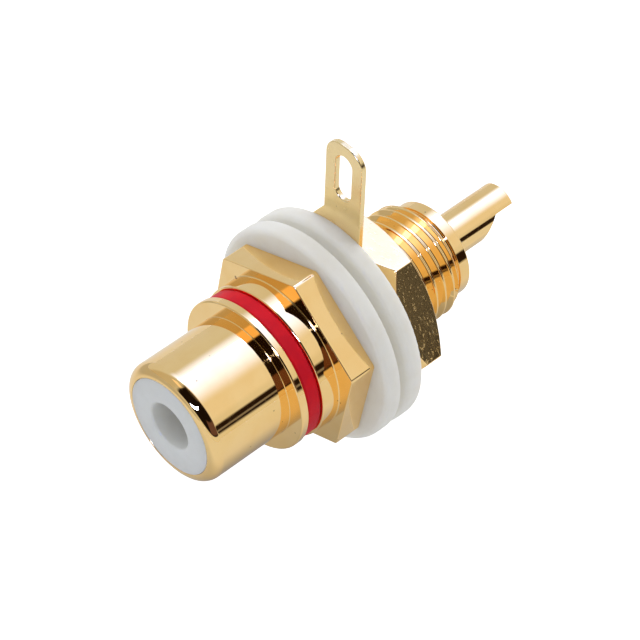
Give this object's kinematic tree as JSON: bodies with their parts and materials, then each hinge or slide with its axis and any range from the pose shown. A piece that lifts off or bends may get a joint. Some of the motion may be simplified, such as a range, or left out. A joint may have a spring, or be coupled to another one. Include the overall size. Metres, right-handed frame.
{
  "type": "rca chassis socket",
  "caption": "Panel-mount phono socket: gold barrel with a red channel ring, hexagon flange, insulating washers, earth tag, lock nut and half-open solder cup.",
  "frame": {"origin": "on the socket's axis, in the plane of the panel's front face, which is the rear face of the front washer", "axes": "+Y runs along the axis from the plug side through the panel to the solder cup, +Z points along the earth tag, +X is to the right as seen from the plug side"},
  "size_m": [0.015, 0.0286, 0.0218],
  "materials": {
    "gold_plate": "mirror-polished gold plate on turned brass",
    "contact_gold": "gold plate on a turned contact",
    "tag_gold": "gold plate on stamped sheet",
    "nut_gold": "gold plate on a bright nut with fine grain",
    "ring_red": "glossy soft plastic",
    "washer_white": "moulded, satin",
    "insulator_white": "turned, satin"
  },
  "bodies": {
    "socket": {"socket_body": "gold_plate", "colour_ring": "ring_red", "front_insulator": "insulator_white", "centre_contact": "contact_gold", "rear_insulator": "insulator_white", "front_washer": "washer_white"},
    "clamp_washer": {"rear_washer": "washer_white"},
    "tag": {"solder_tag": "tag_gold"},
    "nut": {"hex_nut": "nut_gold"}
  },
  "joints": [
    {"name": "clamp_slide", "type": "slide", "parent": "socket", "child": "clamp_washer", "axis": [0, 1, 0], "range_m": [0, 0.00375]},
    {"name": "nut_turn", "type": "hinge", "parent": "clamp_washer", "child": "nut", "pos_m": [0, 0.00362, 0], "axis": [0, 1, 0], "range_deg": [0, 1800]},
    {"name": "tag_swivel", "type": "hinge", "parent": "clamp_washer", "child": "tag", "pos_m": [0, 0.00203, 0], "axis": [0, 1, 0], "continuous": true}
  ],
  "couplings": [
    {"joint": "nut_turn", "follows": "clamp_slide", "rad_per_m": 8377.6}
  ]
}
